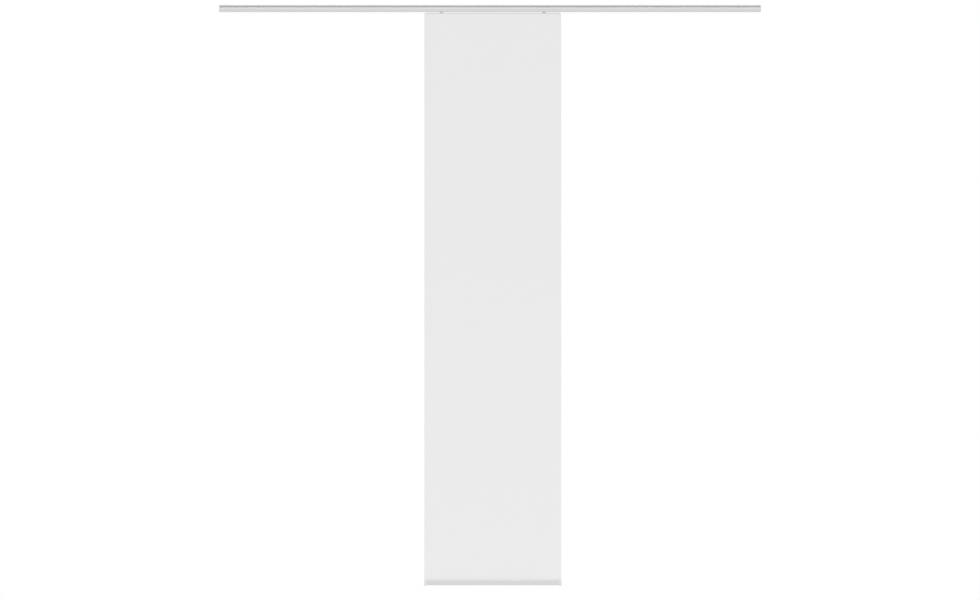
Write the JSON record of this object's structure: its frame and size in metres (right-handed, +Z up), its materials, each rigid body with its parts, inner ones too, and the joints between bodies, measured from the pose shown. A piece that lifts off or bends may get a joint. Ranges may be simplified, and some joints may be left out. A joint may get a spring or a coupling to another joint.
{
  "type": "panel curtain",
  "caption": "Flat fabric panel with a weight bar, hung from roller trucks that run in a two-channel aluminium ceiling rail.",
  "frame": {"origin": "middle of the rail's top face, in the plane of the ceiling and between the clips' screw bores", "axes": "+X along the rail to the right as seen from the room, +Y away from the room, +Z up"},
  "size_m": [2.375, 0.0384, 2.547],
  "materials": {
    "anodised_aluminium": "satin silver anodised extrusion",
    "grey_plastic": "moulded, fine matt grain",
    "light_plastic": "moulded, fine matt grain",
    "white_plastic": "moulded, smooth",
    "dark_nylon": "turned, smooth tread",
    "steel": "bright zinc plate",
    "panel_fabric": "plain dense weave, heat-cut edges",
    "hook_tape": "nylon hooks on a woven band",
    "loop_tape": "brushed nylon loops on a woven band"
  },
  "bodies": {
    "rail": {"rail_profile": "anodised_aluminium", "rail_end_cap_left": "grey_plastic", "rail_end_cap_right": "grey_plastic", "end_stop_left": "grey_plastic", "end_stop_right": "grey_plastic", "stop_screw_left": "steel", "stop_screw_right": "steel", "ceiling_clip_1": "white_plastic", "ceiling_clip_2": "white_plastic", "ceiling_clip_3": "white_plastic", "ceiling_clip_4": "white_plastic"},
    "panel": {"carrier_profile": "anodised_aluminium", "carrier_end_cap_left": "light_plastic", "carrier_end_cap_right": "light_plastic", "truck_left": "white_plastic", "truck_right": "white_plastic", "truck_screw_left": "steel", "truck_screw_right": "steel", "hook_tape": "hook_tape", "loop_tape": "loop_tape", "fabric_panel": "panel_fabric", "hem_spline": "white_plastic", "weight_bar": "anodised_aluminium", "bar_end_cap_left": "light_plastic", "bar_end_cap_right": "light_plastic"},
    "wheelset_1": {"axle_1": "steel", "wheel_1_front": "dark_nylon", "wheel_1_back": "dark_nylon"},
    "wheelset_2": {"axle_2": "steel", "wheel_2_front": "dark_nylon", "wheel_2_back": "dark_nylon"},
    "wheelset_3": {"axle_3": "steel", "wheel_3_front": "dark_nylon", "wheel_3_back": "dark_nylon"},
    "wheelset_4": {"axle_4": "steel", "wheel_4_front": "dark_nylon", "wheel_4_back": "dark_nylon"}
  },
  "joints": [
    {"name": "panel_slide", "type": "slide", "parent": "rail", "child": "panel", "axis": [1, 0, 0], "range_m": [-0.8995, 0.8755]},
    {"name": "wheelset_1_spin", "type": "hinge", "parent": "panel", "child": "wheelset_1", "pos_m": [-0.227, -0.008, -0.02235], "axis": [0, 1, 0], "continuous": true},
    {"name": "wheelset_2_spin", "type": "hinge", "parent": "panel", "child": "wheelset_2", "pos_m": [-0.199, -0.008, -0.02235], "axis": [0, 1, 0], "continuous": true},
    {"name": "wheelset_3_spin", "type": "hinge", "parent": "panel", "child": "wheelset_3", "pos_m": [0.223, -0.008, -0.02235], "axis": [0, 1, 0], "continuous": true},
    {"name": "wheelset_4_spin", "type": "hinge", "parent": "panel", "child": "wheelset_4", "pos_m": [0.251, -0.008, -0.02235], "axis": [0, 1, 0], "continuous": true}
  ],
  "couplings": [
    {"joint": "wheelset_1_spin", "follows": "panel_slide", "rad_per_m": 153.85},
    {"joint": "wheelset_2_spin", "follows": "panel_slide", "rad_per_m": 153.85},
    {"joint": "wheelset_3_spin", "follows": "panel_slide", "rad_per_m": 153.85},
    {"joint": "wheelset_4_spin", "follows": "panel_slide", "rad_per_m": 153.85}
  ]
}
